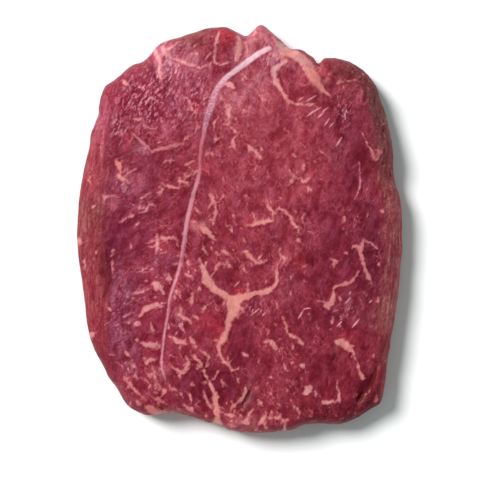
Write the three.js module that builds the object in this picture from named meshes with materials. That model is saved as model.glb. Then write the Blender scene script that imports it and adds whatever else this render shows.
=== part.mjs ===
// A raw beef steak lying flat: one thick slice of lean meat with a rounded outer side.
// Millimetres, +Z up. The origin is on the floor under the middle of the slice, and +Y runs along it.
import * as THREE from 'three';

// Driving dimensions
const LENGTH = 180;
const WIDTH = 143.5;
const CROWN = 18.4;
const EDGE_HEIGHT = 5.4;
const FOOT_INSET = 3.2;
const SHOULDER = { left: 13, right: 9.5, ends: 5.5 };

// Look of the lean meat
const LEAN = { color: 0x9a4351, roughness: 0.45, metalness: 0 };

// Mesh fineness: cells across the top, and the angles of the rings down the side in degrees
const CELLS = 52;
const BRIM_ANGLE = 58;
const SIDE_ANGLES = [40, 24, 10, -6, -28, -55, -90];

// Outline of the slice, counter-clockwise from the lower right corner
const OUTLINE = [
  [62.1, -77.0], [64.0, -70.5], [65.7, -57.1], [70.1, -29.2], [71.9, 0.0], [71.2, 13.0],
  [68.4, 24.0], [67.4, 38.5], [62.4, 57.0], [56.4, 68.3], [46.7, 74.1], [38.0, 75.2],
  [34.3, 72.2], [29.0, 77.6], [22.0, 79.2], [15.4, 85.6], [9.5, 90.0], [3.0, 85.2],
  [-6.9, 88.7], [-19.7, 86.5], [-35.0, 80.6], [-42.0, 74.0], [-52.6, 67.6], [-60.2, 59.8],
  [-63.7, 45.6], [-69.4, 21.7], [-71.6, -2.7], [-68.9, -27.0], [-65.0, -50.4], [-58.4, -62.8],
  [-48.9, -77.4], [-42.0, -82.0], [-29.9, -81.0], [-19.7, -83.3], [-5.0, -88.6], [7.0, -90.0],
  [23.2, -88.7], [29.0, -86.2], [46.7, -85.6], [55.5, -81.3],
];

// Broad swells and dips of the cut face: where, how far they reach, how high they rise
const SWELLS = [
  { x: 22, y: 10, reach: 40, rise: 1.3 },
  { x: -45, y: 12, reach: 26, rise: 0.7 },
  { x: 6, y: -50, reach: 26, rise: 0.5 },
  { x: -44, y: -62, reach: 20, rise: -1.4 },
  { x: 50, y: -66, reach: 20, rise: -1.8 },
  { x: -44, y: 62, reach: 20, rise: -1.3 },
  { x: 46, y: 60, reach: 16, rise: -0.9 },
];

// Gentle waves over the cut face: heading in degrees, wavelength, height and phase
const RIPPLES = [
  { heading: 18, wavelength: 34, height: 0.34, phase: 0.4 },
  { heading: 74, wavelength: 26, height: 0.28, phase: 2.1 },
  { heading: 128, wavelength: 19, height: 0.2, phase: 4.0 },
  { heading: 163, wavelength: 13, height: 0.12, phase: 1.2 },
];

// Long strip of gristle that parts the two muscles, in a shallow furrow
const GRISTLE = [
  [13.3, 78.4], [4.6, 72.9], [-2.7, 67.7], [-8.3, 63.0], [-11.4, 56.5], [-14.2, 46.1], [-17.0, 31.8],
  [-17.9, 21.0], [-21.5, 6.7], [-23.7, -5.0], [-26.3, -17.9], [-29.8, -29.2], [-31.3, -40.5],
  [-33.7, -59.5], [-31.9, -65.6],
];

// Furrows, splits and pockets in the meat: their run, how deep and how wide to one side
const FURROWS = [
  { run: GRISTLE, depth: 0.35, reach: 5.0 },
  { run: [[-55.5, -12.3], [-56.4, -23.6], [-59.0, -30.9]], depth: 0.9, reach: 3.2 },
  { run: [[-38.4, 72.9], [-35.2, 63.9], [-30.8, 60.8], [-26.5, 51.3]], depth: 0.7, reach: 3.0 },
  { run: [[59.2, -59.9], [56.1, -68.2], [51.4, -75.9]], depth: 1.8, reach: 2.6 },
  { run: [[62.6, 27.5], [66.5, 21.9]], depth: 1.8, reach: 2.8 },
  { run: [[6.4, -67.7], [1.2, -76.8]], depth: 1.2, reach: 2.8 },
  { run: [[33.6, 69.9], [37.1, 65.2]], depth: 1.3, reach: 2.6 },
  { run: [[3.3, 83.3], [1.6, 78.1]], depth: 1.0, reach: 2.4 },
  { run: [[-15.7, -17.1], [-1.9, -32.2], [9.8, -27.5]], depth: 0.35, reach: 4.0 },
  { run: [[-1.9, -32.2], [-4.4, -41.8], [-8.8, -54.3], [-4.4, -59.5]], depth: 0.35, reach: 4.0 },
];

const radians = THREE.MathUtils.degToRad;

// Closed smooth curve through the outline, stretched to the slice's true length and width
function outlineCurve() {
  const trace = OUTLINE.map(([x, y]) => new THREE.Vector3(x, y, 0));
  const rough = new THREE.CatmullRomCurve3(trace, true, 'centripetal');
  const box = new THREE.Box3().setFromPoints(rough.getPoints(OUTLINE.length * 20));
  const middle = box.getCenter(new THREE.Vector3());
  const size = box.getSize(new THREE.Vector3());
  const fit = new THREE.Vector3(WIDTH / size.x, LENGTH / size.y, 1);
  const fitted = trace.map((point) => point.clone().sub(middle).multiply(fit));
  const curve = new THREE.CatmullRomCurve3(fitted, true, 'centripetal');
  curve.arcLengthDivisions = 1600;
  return curve;
}

const outline = outlineCurve();

// Width of the rounded shoulder where the outline lies in the direction of the point
function shoulderWidth(x, y) {
  const sideways = Math.abs(x) / Math.hypot(x, y);
  const share = THREE.MathUtils.smoothstep(sideways, 0.3, 0.95);
  return THREE.MathUtils.lerp(SHOULDER.ends, x < 0 ? SHOULDER.left : SHOULDER.right, share);
}

// Distance from a point to a run of straight stretches
function distanceToRun(x, y, run) {
  let nearest = Infinity;
  for (let i = 1; i < run.length; i += 1) {
    const [ax, ay] = run[i - 1];
    const [bx, by] = run[i];
    const [dx, dy] = [bx - ax, by - ay];
    const along = THREE.MathUtils.clamp(((x - ax) * dx + (y - ay) * dy) / (dx * dx + dy * dy), 0, 1);
    nearest = Math.min(nearest, Math.hypot(x - ax - along * dx, y - ay - along * dy));
  }
  return nearest;
}

const bell = (distance, reach) => Math.exp(-((distance / reach) ** 2));

// Height of the cut face, before its edge is rounded
function crownHeight(x, y) {
  let height = CROWN;
  for (const swell of SWELLS) {
    height += swell.rise * bell(Math.hypot(x - swell.x, y - swell.y), swell.reach);
  }
  for (const ripple of RIPPLES) {
    const heading = radians(ripple.heading);
    const along = x * Math.cos(heading) + y * Math.sin(heading);
    height += ripple.height * Math.sin((along / ripple.wavelength) * 2 * Math.PI + ripple.phase);
  }
  for (const furrow of FURROWS) {
    height -= furrow.depth * bell(distanceToRun(x, y, furrow.run), furrow.reach);
  }
  return height;
}

// Point of the cut face at a share of the way from the middle to the outline
function facePoint(turn, share) {
  const edge = outline.getPointAt(turn % 1);
  const [x, y] = [edge.x * share, edge.y * share];
  const inward = Math.min((1 - share) * edge.length() / shoulderWidth(edge.x, edge.y), 1);
  const rise = Math.sqrt(1 - (1 - inward) ** 2);
  return [x, y, EDGE_HEIGHT + (crownHeight(x, y) - EDGE_HEIGHT) * rise];
}

// Point of the rounded side: above 0 degrees on the shoulder, below it where the side tucks under
function sidePoint(turn, angle) {
  const edge = outline.getPointAt(turn % 1);
  const reach = angle > 0 ? shoulderWidth(edge.x, edge.y) : FOOT_INSET;
  const share = 1 - reach * (1 - Math.cos(radians(angle))) / edge.length();
  if (angle > 0) return facePoint(turn, share);
  return [edge.x * share, edge.y * share, EDGE_HEIGHT * (1 + Math.sin(radians(angle)))];
}

// How far round its square ring a grid corner is, from the lower right corner on
function turnOnRing(across, up, ring) {
  if (across === ring) return (up + ring) / (8 * ring);
  if (up === ring) return (3 * ring - across) / (8 * ring);
  if (across === -ring) return (5 * ring - up) / (8 * ring);
  return (7 * ring + across) / (8 * ring);
}

// Square grid drawn out to the outline, its corners on the cut face
function facePositions() {
  const half = CELLS / 2;
  const positions = [];
  for (let row = -half; row <= half; row += 1) {
    for (let column = -half; column <= half; column += 1) {
      const ring = Math.max(Math.abs(row), Math.abs(column));
      const turn = ring === 0 ? 0 : turnOnRing(column, row, ring);
      const edge = outline.getPointAt(turn % 1);
      const inset = shoulderWidth(edge.x, edge.y) * (1 - Math.cos(radians(BRIM_ANGLE)));
      positions.push(facePoint(turn, (ring / half) * (1 - inset / edge.length())));
    }
  }
  return positions;
}

// Grid corners round the border, from the lower right corner counter-clockwise
function borderIndices() {
  const border = [];
  for (let step = 0; step < CELLS; step += 1) border.push(step * (CELLS + 1) + CELLS);
  for (let step = CELLS; step > 0; step -= 1) border.push(CELLS * (CELLS + 1) + step);
  for (let step = CELLS; step > 0; step -= 1) border.push(step * (CELLS + 1));
  for (let step = 0; step < CELLS; step += 1) border.push(step);
  return border;
}

// Whole slice as one closed mesh: cut face, rings down the side, and a flat underside
function steakGeometry() {
  const positions = facePositions();
  const faces = [];
  for (let row = 0; row < CELLS; row += 1) {
    for (let column = 0; column < CELLS; column += 1) {
      const corner = row * (CELLS + 1) + column;
      const above = corner + CELLS + 1;
      faces.push([corner, corner + 1, above + 1], [corner, above + 1, above]);
    }
  }
  const around = 4 * CELLS;
  let upper = borderIndices();
  for (const angle of SIDE_ANGLES) {
    const lower = upper.map((_, step) => positions.length + step);
    for (let step = 0; step < around; step += 1) positions.push(sidePoint(step / around, angle));
    for (let step = 0; step < around; step += 1) {
      const next = (step + 1) % around;
      faces.push([upper[step], lower[step], lower[next]], [upper[step], lower[next], upper[next]]);
    }
    upper = lower;
  }
  const under = positions.length;
  positions.push([0, 0, 0]);
  for (let step = 0; step < around; step += 1) faces.push([under, upper[(step + 1) % around], upper[step]]);

  const geometry = new THREE.BufferGeometry();
  geometry.setAttribute('position', new THREE.Float32BufferAttribute(positions.flat(), 3));
  geometry.setIndex(faces.flat());
  geometry.computeVertexNormals();
  return geometry;
}

const steak = new THREE.Mesh(steakGeometry(), new THREE.MeshStandardMaterial(LEAN));
steak.name = 'steak';

const model = new THREE.Group();
model.add(steak);

export default model;
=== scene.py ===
import math

import bpy
import numpy as np
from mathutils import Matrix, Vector


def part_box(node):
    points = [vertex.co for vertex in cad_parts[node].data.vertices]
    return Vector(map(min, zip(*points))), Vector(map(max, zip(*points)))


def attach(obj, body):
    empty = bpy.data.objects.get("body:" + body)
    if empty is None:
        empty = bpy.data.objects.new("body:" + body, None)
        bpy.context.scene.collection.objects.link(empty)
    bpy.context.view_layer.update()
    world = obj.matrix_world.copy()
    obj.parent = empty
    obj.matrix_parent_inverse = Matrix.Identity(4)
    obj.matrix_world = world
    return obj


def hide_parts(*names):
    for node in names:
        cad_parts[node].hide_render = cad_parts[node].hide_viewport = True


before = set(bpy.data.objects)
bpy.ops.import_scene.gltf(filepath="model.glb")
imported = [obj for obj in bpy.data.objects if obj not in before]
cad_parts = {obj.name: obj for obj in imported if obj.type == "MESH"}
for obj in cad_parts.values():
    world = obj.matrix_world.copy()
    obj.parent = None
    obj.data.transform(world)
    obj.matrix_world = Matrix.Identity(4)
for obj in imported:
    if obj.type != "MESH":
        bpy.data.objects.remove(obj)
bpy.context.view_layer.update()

# Sizes of the slice in millimetres, its length and width from the frame
LOW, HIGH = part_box("steak")
WIDTH, LENGTH = (HIGH.x - LOW.x) * 1000, (HIGH.y - LOW.y) * 1000
CROWN = 18.4
EDGE_HEIGHT = 5.4
FOOT_INSET = 3.2
SHOULDER = {"left": 13.0, "right": 9.5, "ends": 5.5}

# Mesh fineness: cells across the cut face and the underside, the rings down the side in degrees,
# and the gap between the last ring and the underside's cells in millimetres
CELLS = 248
UNDER_CELLS = 124
BRIM_ANGLE = 58
SIDE_ANGLES = [53, 48, 43, 38, 33, 28, 23, 18, 13, 8, 3, -3, -12, -24, -38, -54, -72, -90]
UNDER_INSET = 1.3

# Photograph's frame: a long lens straight above, its middle pixel and the size of a pixel at the rim,
# in millimetres
MIDDLE_PIXEL = 250
PIXEL = 0.4423
LENS, SENSOR = 100, 36
AIM = (4.64, -9.29)
CAMERA_HEIGHT = EDGE_HEIGHT + 2 * MIDDLE_PIXEL * PIXEL * LENS / SENSOR

# Outline of the slice, counter-clockwise from the lower right corner, in millimetres
OUTLINE = [
    (62.1, -77.0), (64.0, -70.5), (65.7, -57.1), (70.1, -29.2), (71.9, 0.0), (71.2, 13.0),
    (68.4, 24.0), (67.4, 38.5), (62.4, 57.0), (56.4, 68.3), (46.7, 74.1), (38.0, 75.2),
    (34.3, 72.2), (29.0, 77.6), (22.0, 79.2), (15.4, 85.6), (9.5, 90.0), (3.0, 85.2),
    (-6.9, 88.7), (-19.7, 86.5), (-35.0, 80.6), (-42.0, 74.0), (-52.6, 67.6), (-60.2, 59.8),
    (-63.7, 45.6), (-69.4, 21.7), (-71.6, -2.7), (-68.9, -27.0), (-65.0, -50.4), (-58.4, -62.8),
    (-48.9, -77.4), (-42.0, -82.0), (-29.9, -81.0), (-19.7, -83.3), (-5.0, -88.6), (7.0, -90.0),
    (23.2, -88.7), (29.0, -86.2), (46.7, -85.6), (55.5, -81.3),
]

# Broad swells and dips of the cut face: where, how far they reach, how high they rise
SWELLS = [
    (22, 10, 40, 1.3), (-45, 12, 26, 0.7), (6, -50, 26, 0.5), (-44, -62, 20, -1.4),
    (50, -66, 20, -1.8), (-44, 62, 20, -1.3), (46, 60, 16, -0.9),
]

# Gentle waves over the cut face: heading in degrees, wavelength, height and phase
RIPPLES = [(18, 34, 0.34, 0.4), (74, 26, 0.28, 2.1), (128, 19, 0.2, 4.0), (163, 13, 0.12, 1.2)]

# Furrow of the gristle, then the other furrows and pockets: their run, depth and reach to one side
GRISTLE_FURROW = [
    (13.3, 78.4), (4.6, 72.9), (-2.7, 67.7), (-8.3, 63.0), (-11.4, 56.5), (-14.2, 46.1),
    (-17.0, 31.8), (-17.9, 21.0), (-21.5, 6.7), (-23.7, -5.0), (-26.3, -17.9), (-29.8, -29.2),
    (-31.3, -40.5), (-33.7, -59.5), (-31.9, -65.6),
]
FURROWS = [
    (GRISTLE_FURROW, 0.35, 5.0),
    ([(-55.5, -12.3), (-56.4, -23.6), (-59.0, -30.9)], 0.9, 3.2),
    ([(-38.4, 72.9), (-35.2, 63.9), (-30.8, 60.8), (-26.5, 51.3)], 0.7, 3.0),
    ([(59.2, -59.9), (56.1, -68.2), (51.4, -75.9)], 1.8, 2.6),
    ([(62.6, 27.5), (66.5, 21.9)], 1.8, 2.8),
    ([(6.4, -67.7), (1.2, -76.8)], 1.2, 2.8),
    ([(33.6, 69.9), (37.1, 65.2)], 1.3, 2.6),
    ([(3.3, 83.3), (1.6, 78.1)], 1.0, 2.4),
    ([(-15.7, -17.1), (-1.9, -32.2), (9.8, -27.5)], 0.35, 4.0),
    ([(-1.9, -32.2), (-4.4, -41.8), (-8.8, -54.3), (-4.4, -59.5)], 0.35, 4.0),
]

# Small corners and dents of the rim: x, y and reach in photograph pixels, push outwards in millimetres
RIM_NUDGES = [
    (315, 60, 7, 2.0), (300, 50, 8, 1.0), (284, 43, 8, 0.8), (131, 65, 9, 1.4), (105, 86, 7, 0.9),
    (90, 134, 8, 1.2), (157, 43, 8, 0.8), (228, 27, 8, 0.6), (205, 27, 9, 0.6), (239, 33, 6, 0.4),
    (219, 423, 7, -1.6), (108, 375, 9, 0.9), (128, 405, 9, 0.6), (375, 88, 9, 0.6), (401, 250, 8, 0.5),
    (97, 113, 6, -0.7), (101, 90, 5, 0.4), (166, 38, 8, 0.5), (395, 188, 7, -0.5), (282, 430, 8, -0.6),
    (370, 407, 7, -0.5), (83, 322, 12, 0.4), (348, 61, 8, 0.4),
]

# Strip of gristle in photograph pixels: x, y and width
GRISTLE = [
    (269.5, 48, 4.4), (258, 54, 5.6), (243, 65, 5.4), (226, 78, 5), (216, 91, 5.6), (211, 107, 6.4),
    (207, 118, 6), (204, 132, 4), (200, 155, 3), (199.5, 172, 3.2), (193, 196, 4), (187, 221, 4),
    (184.5, 240, 4), (181, 262, 3.6), (176, 279, 3), (170.5, 296, 2.8), (168, 315, 2.4),
    (165, 330, 2.2), (162, 355, 2), (161.5, 366, 1.8), (165.5, 380, 1.2),
]

# Broad fat seams in photograph pixels: x, y and width along each
BROAD_SEAMS = {
    "fork left arm": [
        (199, 259, 1.5), (203, 268, 4), (207, 279, 7.5), (215, 289, 8), (224, 295, 7), (235, 302, 11),
    ],
    "fork right arm": [
        (235, 303, 13), (241, 298, 8), (247, 296, 7), (256, 293, 5), (268, 291, 6), (271, 289, 5),
        (276, 283, 4), (277, 276, 3.5), (277, 270, 3), (278, 264, 1.5),
    ],
    "fork stem": [
        (233, 305, 14), (233, 312, 11), (229, 319, 7), (228, 325, 5), (226, 333, 5), (222, 340, 6),
        (219, 347, 4), (220, 354, 3), (224, 361, 3), (229, 366, 2.5), (233, 370, 2), (238, 369, 1),
    ],
    "bottom seam": [
        (204, 371, 3), (209, 382, 2), (212, 388, 3), (215, 395, 4), (216, 403, 5), (217, 412, 7),
        (217, 421, 8), (219, 428, 8),
    ],
    "membrane of the upper edge": [(273, 38, 3), (278, 43, 7), (283, 47, 8), (288, 50, 6)],
    "cap of the upper edge": [(281, 53, 4), (290, 54, 8), (298, 57, 10), (306, 62, 9), (313, 67, 5)],
    "seam of the cap": [
        (302, 64, 4), (308, 70, 9), (314, 77, 11), (318, 84, 8), (323, 90, 4), (331, 97, 2),
    ],
    "seam under the cap": [
        (286, 61, 3), (280, 65, 5), (274, 71, 6.5), (275, 79, 5.5), (279, 86, 5.5), (283, 94, 3.6),
        (289, 101, 2.8), (295, 104, 3.4), (304, 105, 2),
    ],
    "arm of the upper left": [(155, 46, 3), (156, 53, 5), (159, 62, 4.5), (160, 72, 3), (162, 82, 1)],
    "bar of the upper left": [
        (163, 50, 3), (167, 56, 4), (178, 60, 3), (189, 64, 4), (200, 67, 3), (211, 63, 1),
    ],
    "ridge of the upper left": [
        (219, 31, 1.5), (217, 40, 2.6), (215, 52, 2), (215, 62, 3), (223, 64, 2), (230, 62, 1),
    ],
    "corner of the upper left": [(163, 55, 2.5), (168, 50, 2), (174, 45, 2), (180, 41, 1)],
    "pocket by the upper end of the gristle": [(238, 37, 3), (240, 44, 6), (239, 52, 7), (236, 60, 4)],
    "lower right wedge": [
        (337, 342, 5), (344, 344, 8), (350, 349, 5), (354, 354, 2), (358, 366, 1.8), (363, 380, 1),
    ],
    "right corner": [(329, 309, 3), (326, 305, 5), (332, 302, 4), (333, 296, 3)],
    "wedge by the left seam": [
        (116, 160, 2), (119, 165, 6), (120, 171, 2.5), (120, 177, 4), (127, 180, 1.5),
    ],
    "left foot": [(146, 407, 3), (152, 410, 7), (160, 413, 6), (172, 414, 4)],
    "patch on the left side": [(91, 333, 4), (93, 340, 4)],
    "bulge by the gristle": [(221, 87, 3), (225, 83, 5), (230, 85, 7), (233, 88, 4)],
}

# Fine fat seams in photograph pixels, region by region: the width, then x and y along the run
FINE_SEAMS = {
    "round the fork": [
        (2, 199, 283, 207, 281), (2, 210, 277, 215, 272, 217, 266, 220, 263), (2, 248, 292, 247, 283),
        (2, 213, 340, 219, 341), (2, 215, 356, 219, 355), (2, 232, 360, 229, 366), (2, 240, 306, 244, 312),
    ],
    "right net": [
        (3.5, 364, 239, 361, 246, 361, 255, 363, 263, 365, 270, 369, 278, 373, 286),
        (3, 361, 246, 355, 246, 351, 249), (2, 348, 252, 345, 255), (2, 366, 241, 372, 244, 377, 249),
        (3, 359, 271, 354, 278, 348, 283, 340, 285, 334, 288, 333, 296, 332, 302, 329, 308),
        (2, 317, 301, 330, 303), (3, 337, 380, 339, 395, 337, 401, 330, 402, 322, 401),
        (7, 310, 384, 308, 390, 304, 395), (2.5, 330, 258, 335, 260, 338, 262), (2, 334, 261, 334, 268),
        (2.5, 378, 297, 379, 303), (2.5, 379, 262, 379, 266), (3.5, 344, 216, 344, 221),
        (4, 382, 210, 383, 213), (2, 369, 212, 367, 218), (2.5, 374, 354, 375, 358),
        (2, 361, 375, 363, 380),
    ],
    "upper right": [
        (5.5, 230, 103, 229, 112, 229, 121), (1.5, 220, 97, 226, 101, 230, 106),
        (2.5, 231, 126, 234, 130, 238, 134), (3, 238, 134, 234, 139, 234, 147, 237, 150),
        (3, 245, 143, 250, 147, 255, 152, 260, 157, 263, 159),
        (2, 361, 131, 365, 139, 369, 147, 372, 152, 376, 160), (2.5, 376, 160, 380, 154, 381, 150),
        (1.5, 359, 162, 360, 185, 355, 199), (2, 292, 153, 297, 159), (1.5, 313, 161, 317, 163),
        (1.5, 276, 158, 280, 158), (1.5, 253, 170, 257, 167), (1.5, 231, 163, 236, 166),
        (2, 205, 154, 211, 153, 214, 156), (2, 201, 169, 207, 171, 210, 175),
        (2, 215, 142, 218, 139, 223, 137), (1.5, 223, 175, 223, 184), (1.5, 222, 194, 223, 198),
        (1.5, 240, 108, 247, 112, 255, 113), (1.5, 238, 96, 246, 99), (1.5, 300, 118, 308, 122),
        (1.5, 262, 128, 268, 132), (1.5, 284, 128, 290, 134),
        (1.5, 337, 83, 343, 81, 349, 82, 355, 80, 361, 83), (1.8, 382, 125, 385, 123, 388, 123),
        (1.6, 252, 86, 258, 92, 263, 101), (1.6, 240, 74, 247, 78, 255, 80),
        (1.4, 303, 105, 312, 104, 320, 108), (1.4, 300, 84, 304, 86, 308, 85), (1.4, 318, 148, 326, 155),
        (1.4, 300, 142, 306, 148),
    ],
    "centre": [
        (2, 190, 221, 196, 223, 201, 226), (6, 198, 226, 205, 230, 211, 235, 216, 241),
        (2.5, 209, 193, 212, 198, 215, 203, 216, 209, 215, 215, 214, 222),
        (4, 246, 226, 255, 224, 268, 221, 274, 220), (2.5, 252, 211, 255, 217, 257, 221),
        (3, 266, 200, 268, 205, 272, 211, 274, 220),
        (3, 276, 210, 281, 209, 286, 212, 290, 216, 292, 220, 295, 226, 301, 227),
        (2, 305, 213, 303, 219, 304, 224), (3, 302, 163, 304, 167, 303, 173),
        (2, 289, 170, 292, 175, 295, 178, 300, 178, 303, 181, 308, 180, 310, 176),
        (2, 295, 178, 291, 182, 288, 186), (2.5, 306, 187, 311, 192), (2, 193, 205, 197, 210, 201, 215),
        (2, 232, 214, 236, 220), (3, 244, 195, 246, 197),
        (3.5, 241, 251, 246, 252, 250, 257, 255, 260, 258, 263), (2.5, 258, 263, 262, 261, 268, 259),
        (2, 258, 259, 262, 255), (2, 242, 264, 244, 270, 247, 273, 249, 271), (3, 244, 237, 245, 245),
        (3, 221, 250, 226, 253, 232, 257), (3.5, 227, 264, 232, 268), (3, 203, 243, 204, 249, 208, 255),
        (2, 216, 251, 217, 255), (2, 280, 248, 280, 255, 284, 258, 288, 261), (2.5, 298, 238, 300, 243),
        (3, 302, 267, 306, 265), (2, 294, 263, 296, 263), (2.5, 282, 316, 286, 326, 288, 332),
        (4, 288, 332, 292, 336, 299, 339), (3, 299, 339, 303, 345), (3.5, 263, 342, 270, 340),
        (4.5, 270, 340, 273, 343, 276, 350), (2, 269, 330, 268, 335),
    ],
    "beside the gristle": [
        (3, 193, 315, 197, 318, 200, 324), (3.6, 175, 312, 181, 316, 186, 319, 192, 324),
        (2.6, 180, 305, 182, 316), (2.5, 176, 288, 178, 294, 182, 299), (3, 183, 272, 187, 275, 193, 277),
        (2, 195, 269, 198, 273), (2, 186, 261, 189, 265), (2, 192, 292, 192, 302, 191, 306),
        (2, 199, 286, 199, 292), (2, 208, 321, 209, 325), (1.5, 202, 312, 205, 307, 211, 303),
        (4.5, 168, 335, 174, 339, 180, 342, 188, 344), (3.5, 191, 337, 194, 344),
        (3, 200, 350, 206, 354, 210, 358), (2.5, 207, 360, 207, 367),
        (3, 191, 353, 195, 358, 200, 362, 202, 368), (3, 169, 365, 175, 369, 180, 372, 187, 373),
        (2.5, 186, 355, 188, 364, 185, 369), (1.5, 201, 384, 208, 382),
        (2, 203, 389, 205, 396, 208, 403, 212, 409), (2, 212, 380, 216, 376, 218, 371),
        (2, 222, 380, 223, 388), (2.5, 191, 384, 194, 385),
    ],
    "upper left": [
        (2.8, 130, 132, 137, 138, 147, 147, 153, 152),
        (3, 152, 152, 160, 149, 168, 147, 176, 145, 184, 144),
        (1.5, 184, 144, 184, 138, 190, 136, 194, 133, 196, 128), (2, 126, 176, 130, 172, 136, 168),
        (2, 105, 205, 105, 199, 110, 196, 118, 197), (2.5, 140, 198, 145, 196, 150, 193),
        (2, 137, 210, 142, 206), (2, 120, 222, 128, 217), (2, 129, 218, 133, 215), (2, 134, 227, 139, 223),
        (2, 92, 208, 97, 206), (1.5, 90, 177, 90, 184), (1.5, 162, 166, 165, 161, 170, 161, 178, 160),
        (2, 184, 166, 190, 163, 196, 161), (1.5, 190, 166, 192, 171, 190, 175, 184, 178),
        (3, 162, 183, 168, 186, 175, 188, 181, 187), (2, 181, 187, 180, 181, 178, 175),
        (2, 180, 181, 186, 183, 192, 184), (2.5, 122, 80, 128, 84), (1.6, 162, 47, 166, 42, 172, 38),
        (2, 175, 95, 183, 97, 189, 100, 192, 109, 199, 113), (2, 201, 101, 210, 96),
        (1.6, 130, 118, 136, 119, 141, 120, 147, 116), (1.8, 141, 122, 146, 127, 157, 130),
        (2.6, 123, 82, 130, 86), (1.4, 149, 88, 157, 85), (1.5, 170, 128, 177, 126),
        (1.6, 146, 100, 152, 104, 156, 110), (1.5, 243, 39, 247, 46, 246, 54),
        (1.5, 250, 40, 257, 39, 263, 43), (1.4, 254, 30, 259, 36, 266, 38),
        (2.2, 231, 121, 226, 125, 221, 123), (1.4, 205, 60, 212, 52),
        (1.6, 250, 36, 256, 33, 264, 34, 271, 33), (1.4, 259, 26, 262, 32, 268, 37),
        (1.6, 199, 128, 196, 122), (1.6, 220, 116, 215, 121, 213, 128),
    ],
    "left": [
        (3, 80, 236, 81, 242, 85, 243), (3, 96, 251, 97, 254), (2.5, 86, 255, 85, 262, 85, 270),
        (2.5, 113, 248, 113, 254), (2.5, 113, 260, 112, 266, 113, 273), (2, 131, 243, 131, 250),
        (4, 157, 234, 158, 242, 157, 248, 155, 254), (3, 158, 239, 165, 238, 176, 237),
        (2, 177, 238, 178, 246), (2, 145, 244, 150, 242, 156, 240), (2, 176, 255, 180, 257),
        (2, 172, 264, 178, 264), (3, 168, 272, 170, 283), (3, 166, 280, 171, 279),
        (1.5, 137, 273, 142, 270, 147, 269), (3, 146, 281, 148, 281),
        (6, 152, 284, 156, 284, 160, 289, 165, 294), (2.5, 131, 295, 135, 293, 141, 292, 150, 288),
        (5, 139, 318, 143, 311, 150, 307, 158, 304), (3, 153, 307, 159, 306, 165, 308),
        (3, 127, 323, 129, 323), (3.5, 134, 325, 139, 323), (2.5, 150, 320, 152, 328, 153, 333),
        (3, 108, 308, 112, 311), (2, 117, 309, 119, 311),
    ],
    "lower left": [
        (4, 135, 339, 138, 341), (5, 140, 342, 146, 345, 152, 344, 160, 346), (3, 152, 342, 156, 350),
        (4, 125, 353, 130, 354), (4.5, 145, 364, 149, 360, 158, 359), (3, 153, 366, 155, 376, 156, 388),
        (2, 155, 350, 162, 347), (3, 158, 368, 163, 370),
        (2.2, 124, 377, 130, 384, 136, 391, 142, 397, 147, 401), (1.5, 144, 378, 148, 383, 152, 387),
        (5, 163, 391, 165, 391), (2, 171, 387, 178, 391), (2.5, 185, 391, 190, 396, 191, 403),
        (5, 183, 405, 190, 409, 195, 413), (2, 118, 362, 124, 369), (1.5, 132, 372, 139, 380),
        (2, 152, 396, 160, 401, 168, 404),
    ],
    "lower edge": [
        (4, 222, 412, 230, 416, 238, 416), (2.5, 232, 401, 233, 407, 236, 403, 240, 399),
        (3.5, 246, 385, 246, 391, 243, 398, 240, 403), (3, 254, 408, 249, 414, 246, 420),
        (4.5, 242, 421, 250, 424), (4, 256, 430, 261, 422, 265, 416), (3, 261, 421, 268, 429),
        (3.5, 266, 418, 278, 418, 281, 414), (2, 272, 410, 272, 416), (3, 280, 418, 284, 421, 289, 419),
        (3, 285, 422, 285, 431), (3, 273, 396, 270, 392), (3, 286, 391, 288, 391), (4, 301, 366, 303, 366),
        (3, 291, 363, 293, 363), (2, 283, 363, 288, 372), (3, 243, 353, 248, 357), (2, 293, 343, 293, 351),
        (2, 301, 378, 303, 378), (3, 335, 416, 337, 416), (4, 375, 400, 377, 400), (3, 228, 424, 236, 427),
        (2.5, 238, 409, 244, 411), (2, 296, 408, 300, 415), (2, 258, 400, 263, 406),
        (2, 276, 402, 281, 407), (2, 290, 398, 294, 403),
    ],
}

# Lilac threads of membrane in photograph pixels: the width, then x and y along the run
THREADS = [
    (1.6, 152, 152, 160, 149, 168, 147, 176, 145, 184, 144), (1.4, 128, 129, 136, 137, 147, 147, 153, 152),
    (1, 359, 162, 360, 185, 355, 199),
]

# Open splits and pockets darkened with painted shade, in photograph pixels: the width, then x and y along
# the run
SPLITS = [
    (4.6, 377, 365, 374, 375, 370, 384, 365, 393), (5, 365, 392, 361, 397, 357, 403),
    (2, 250, 390, 247, 396, 243, 403),
    (1.4, 340, 352, 335, 356, 330, 365), (1.2, 327, 375, 328, 387), (1.2, 312.5, 257, 313, 264, 312.5, 271),
    (2, 383, 129, 385, 132), (1.4, 164, 58, 165, 60), (1.8, 317, 63, 320, 67), (1.6, 390, 172, 393, 178),
]
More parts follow.
